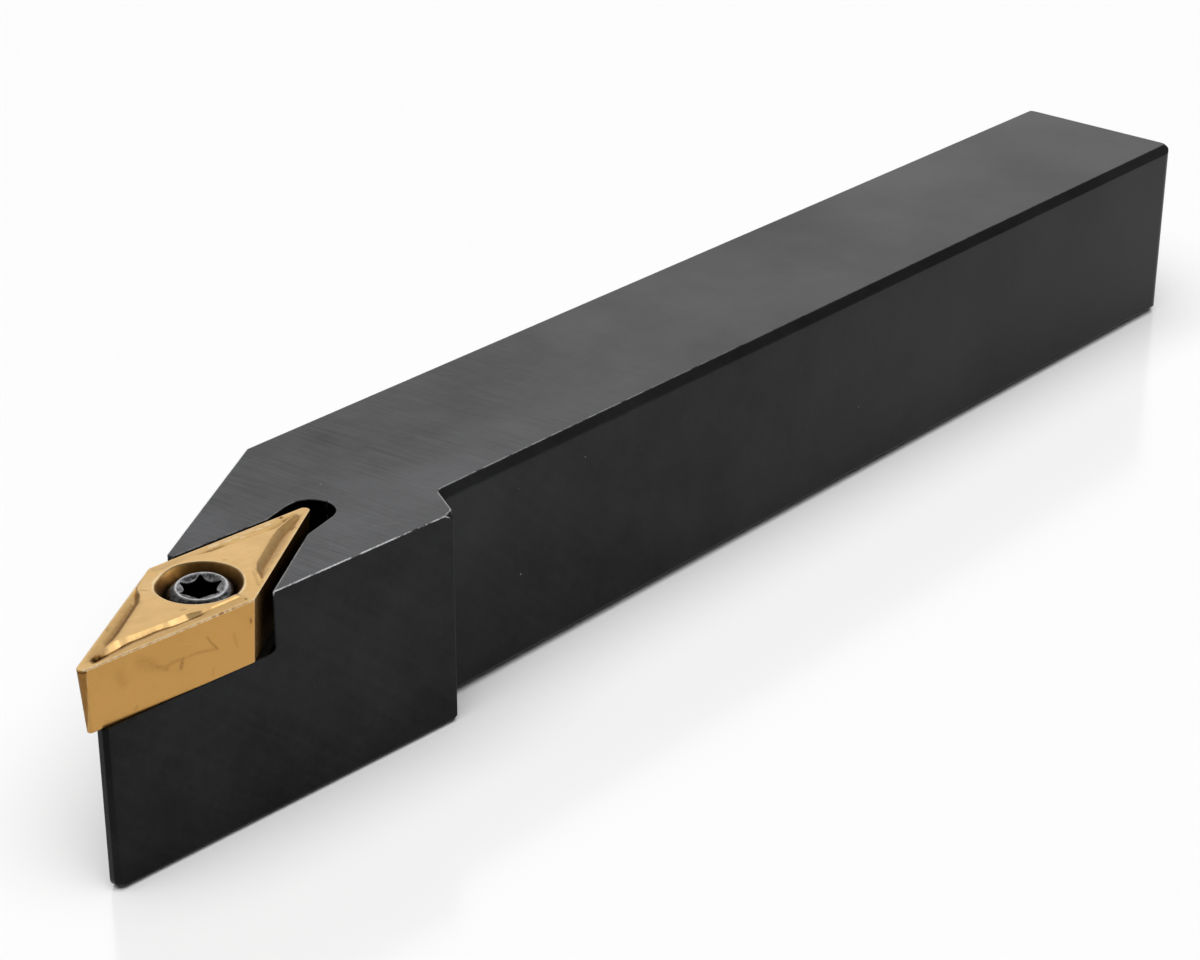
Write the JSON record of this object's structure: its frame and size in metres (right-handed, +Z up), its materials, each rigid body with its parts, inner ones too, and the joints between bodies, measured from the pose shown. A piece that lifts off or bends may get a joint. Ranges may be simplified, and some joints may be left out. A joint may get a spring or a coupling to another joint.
{
  "type": "indexable turning tool holder",
  "caption": "Square-shank turning tool holder with an offset head and a screw-clamped rhombic cutting insert for external profile turning.",
  "frame": {"origin": "middle of the bounding box's base: half-way along the tool, half-way across its widest part, on the shank's base plane", "axes": "+X from the cutting nose to the back end along the shank, +Z up from the shank's base to the rake face, -Y to the side the head stands out on"},
  "size_m": [0.1524, 0.022, 0.0195],
  "materials": {
    "holder_steel": "ground steel with a black oxide finish",
    "insert_coating": "satin gold-coloured nitride coating over cemented carbide",
    "screw_steel": "satin dark grey"
  },
  "bodies": {
    "root": {"holder_body": "holder_steel", "cutting_insert": "insert_coating", "clamping_screw": "screw_steel"}
  },
  "joints": []
}
